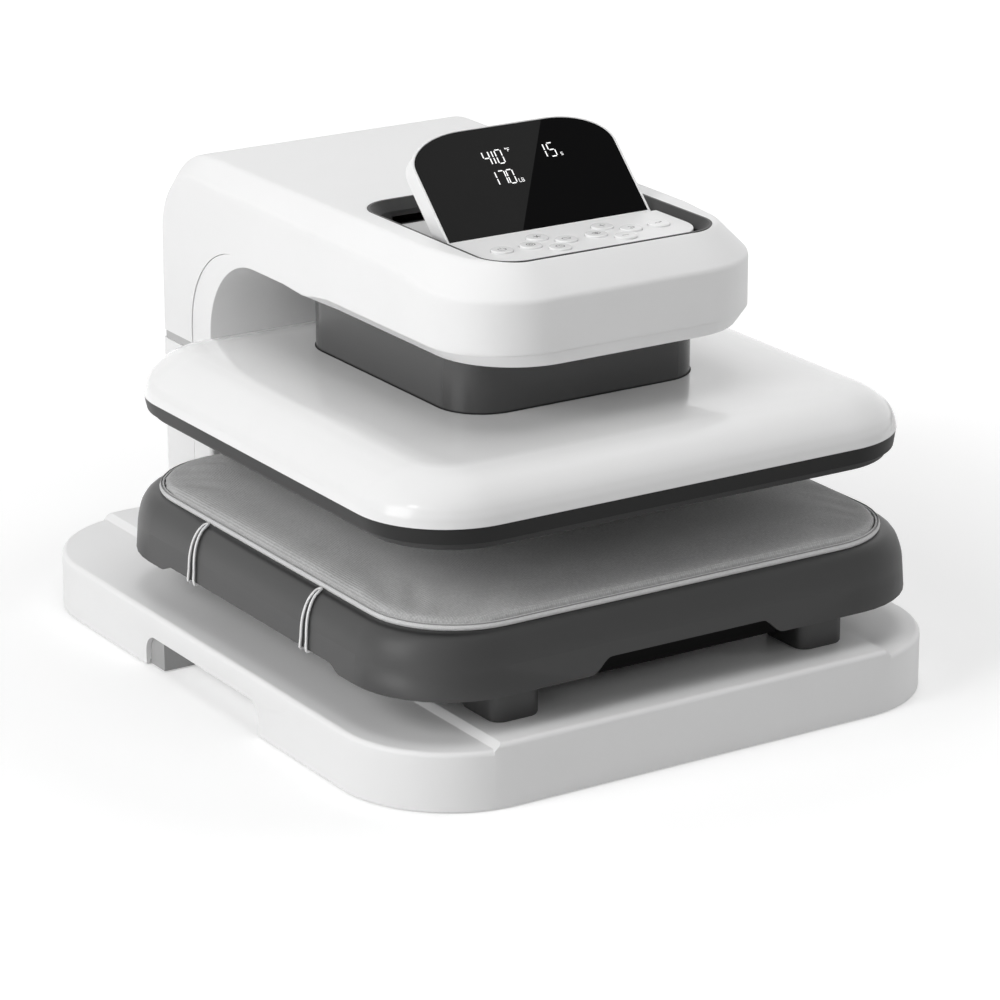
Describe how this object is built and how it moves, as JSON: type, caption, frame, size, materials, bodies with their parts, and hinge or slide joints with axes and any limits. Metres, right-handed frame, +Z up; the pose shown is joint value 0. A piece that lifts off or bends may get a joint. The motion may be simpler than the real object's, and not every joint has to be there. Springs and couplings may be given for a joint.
{
  "type": "automatic heat press",
  "caption": "Desktop automatic heat press with a C-shaped casing, motor-driven square platen, pull-out padded tray, folding screen and button console.",
  "frame": {"origin": "centre of the base footprint on the floor", "axes": "+X to the right, +Y to the rear, +Z up; the tray pulls out along -Y"},
  "size_m": [0.432, 0.52, 0.3671],
  "materials": {
    "white_plastic": "satin",
    "gloss_white": "glossy",
    "grey_plastic": "fine matte",
    "dark_coat": "matte",
    "collar_grey": "matte",
    "frame_steel": "powder coat",
    "steel": "brushed",
    "chrome_rod": "ground",
    "brass": "turned",
    "rubber": "matte",
    "black_plastic": "matte",
    "board": "satin",
    "cast_housing": "cast",
    "pad_cloth": "woven",
    "elastic": "braided",
    "heated_aluminium": "non-stick coat",
    "heater": "oxidised",
    "blanket": "felt",
    "ceramic": "glazed",
    "black_glass": "polished",
    "button_white": "satin"
  },
  "bodies": {
    "frame": {"base_shell": "white_plastic", "base_plate": "grey_plastic", "rubber_feet": "rubber", "steel_frame": "frame_steel", "column_shell": "white_plastic", "column_collar": "collar_grey", "head_shell": "white_plastic", "head_liner": "white_plastic", "rear_cover": "white_plastic", "cover_screws": "steel", "power_inlet": "black_plastic", "switch_bezel": "black_plastic", "control_board": "board", "guide_rods": "chrome_rod", "gearbox": "cast_housing", "drive_motor": "cast_housing", "console_tub": "grey_plastic", "button_panel": "white_plastic", "key_board": "board", "tray_rails": "steel", "well_plate": "white_plastic"},
    "platen": {"shroud": "grey_plastic", "platen_cover": "gloss_white", "platen_band": "dark_coat", "heat_plate": "heated_aluminium", "heating_element": "heater", "insulation": "blanket", "standoffs": "steel", "carrier": "steel", "guide_bushes": "brass", "lead_nut": "brass", "thermal_cutout": "ceramic"},
    "screw": {"lead_screw": "steel"},
    "tray": {"tray_body": "grey_plastic", "tray_floor": "grey_plastic", "tray_feet": "grey_plastic", "tray_runners": "black_plastic", "pad": "pad_cloth", "elastic_left_front": "elastic", "elastic_left_rear": "elastic", "elastic_right_front": "elastic", "elastic_right_rear": "elastic", "tray_skirt": "black_plastic"},
    "screen": {"screen_frame": "white_plastic", "screen_glass": "black_glass"},
    "switch_key": {"rocker": "black_plastic"},
    "button_power": {"button_power": "button_white"},
    "button_mode_left": {"button_mode_left": "button_white"},
    "button_mode_rear": {"button_mode_rear": "button_white"},
    "button_mode_front": {"button_mode_front": "button_white"},
    "button_mode_right": {"button_mode_right": "button_white"},
    "button_set_left": {"button_set_left": "button_white"},
    "button_set_rear": {"button_set_rear": "button_white"},
    "button_set_front": {"button_set_front": "button_white"},
    "button_set_right": {"button_set_right": "button_white"},
    "button_start": {"button_start": "button_white"}
  },
  "joints": [
    {"name": "platen_press", "type": "slide", "parent": "frame", "child": "platen", "axis": [0, 0, -1], "range_m": [0, 0.04]},
    {"name": "screw_turn", "type": "hinge", "parent": "frame", "child": "screw", "pos_m": [0, -0.044, 0.26], "axis": [0, 0, 1], "range_deg": [0, 2401]},
    {"name": "tray_pull", "type": "slide", "parent": "frame", "child": "tray", "axis": [0, -1, 0], "range_m": [0, 0.16]},
    {"name": "screen_fold", "type": "hinge", "parent": "frame", "child": "screen", "pos_m": [0, -0.0818, 0.306], "axis": [-1, 0, 0], "range_deg": [0, 44]},
    {"name": "switch_rock", "type": "hinge", "parent": "frame", "child": "switch_key", "pos_m": [0.043, 0.2366, 0.093], "axis": [-1, 0, 0], "range_deg": [0, 16]},
    {"name": "push_power", "type": "slide", "parent": "frame", "child": "button_power", "axis": [0, 0, -1], "range_m": [0, 0.001], "stiffness_N_per_m": 600, "springref_m": -0.0005},
    {"name": "push_mode_left", "type": "slide", "parent": "frame", "child": "button_mode_left", "axis": [0, 0, -1], "range_m": [0, 0.001], "stiffness_N_per_m": 600, "springref_m": -0.0005},
    {"name": "push_mode_rear", "type": "slide", "parent": "frame", "child": "button_mode_rear", "axis": [0, 0, -1], "range_m": [0, 0.001], "stiffness_N_per_m": 600, "springref_m": -0.0005},
    {"name": "push_mode_front", "type": "slide", "parent": "frame", "child": "button_mode_front", "axis": [0, 0, -1], "range_m": [0, 0.001], "stiffness_N_per_m": 600, "springref_m": -0.0005},
    {"name": "push_mode_right", "type": "slide", "parent": "frame", "child": "button_mode_right", "axis": [0, 0, -1], "range_m": [0, 0.001], "stiffness_N_per_m": 600, "springref_m": -0.0005},
    {"name": "push_set_left", "type": "slide", "parent": "frame", "child": "button_set_left", "axis": [0, 0, -1], "range_m": [0, 0.001], "stiffness_N_per_m": 600, "springref_m": -0.0005},
    {"name": "push_set_rear", "type": "slide", "parent": "frame", "child": "button_set_rear", "axis": [0, 0, -1], "range_m": [0, 0.001], "stiffness_N_per_m": 600, "springref_m": -0.0005},
    {"name": "push_set_front", "type": "slide", "parent": "frame", "child": "button_set_front", "axis": [0, 0, -1], "range_m": [0, 0.001], "stiffness_N_per_m": 600, "springref_m": -0.0005},
    {"name": "push_set_right", "type": "slide", "parent": "frame", "child": "button_set_right", "axis": [0, 0, -1], "range_m": [0, 0.001], "stiffness_N_per_m": 600, "springref_m": -0.0005},
    {"name": "push_start", "type": "slide", "parent": "frame", "child": "button_start", "axis": [0, 0, -1], "range_m": [0, 0.001], "stiffness_N_per_m": 600, "springref_m": -0.0005}
  ],
  "couplings": [
    {"joint": "screw_turn", "follows": "platen_press", "rad_per_m": 1047.2}
  ]
}
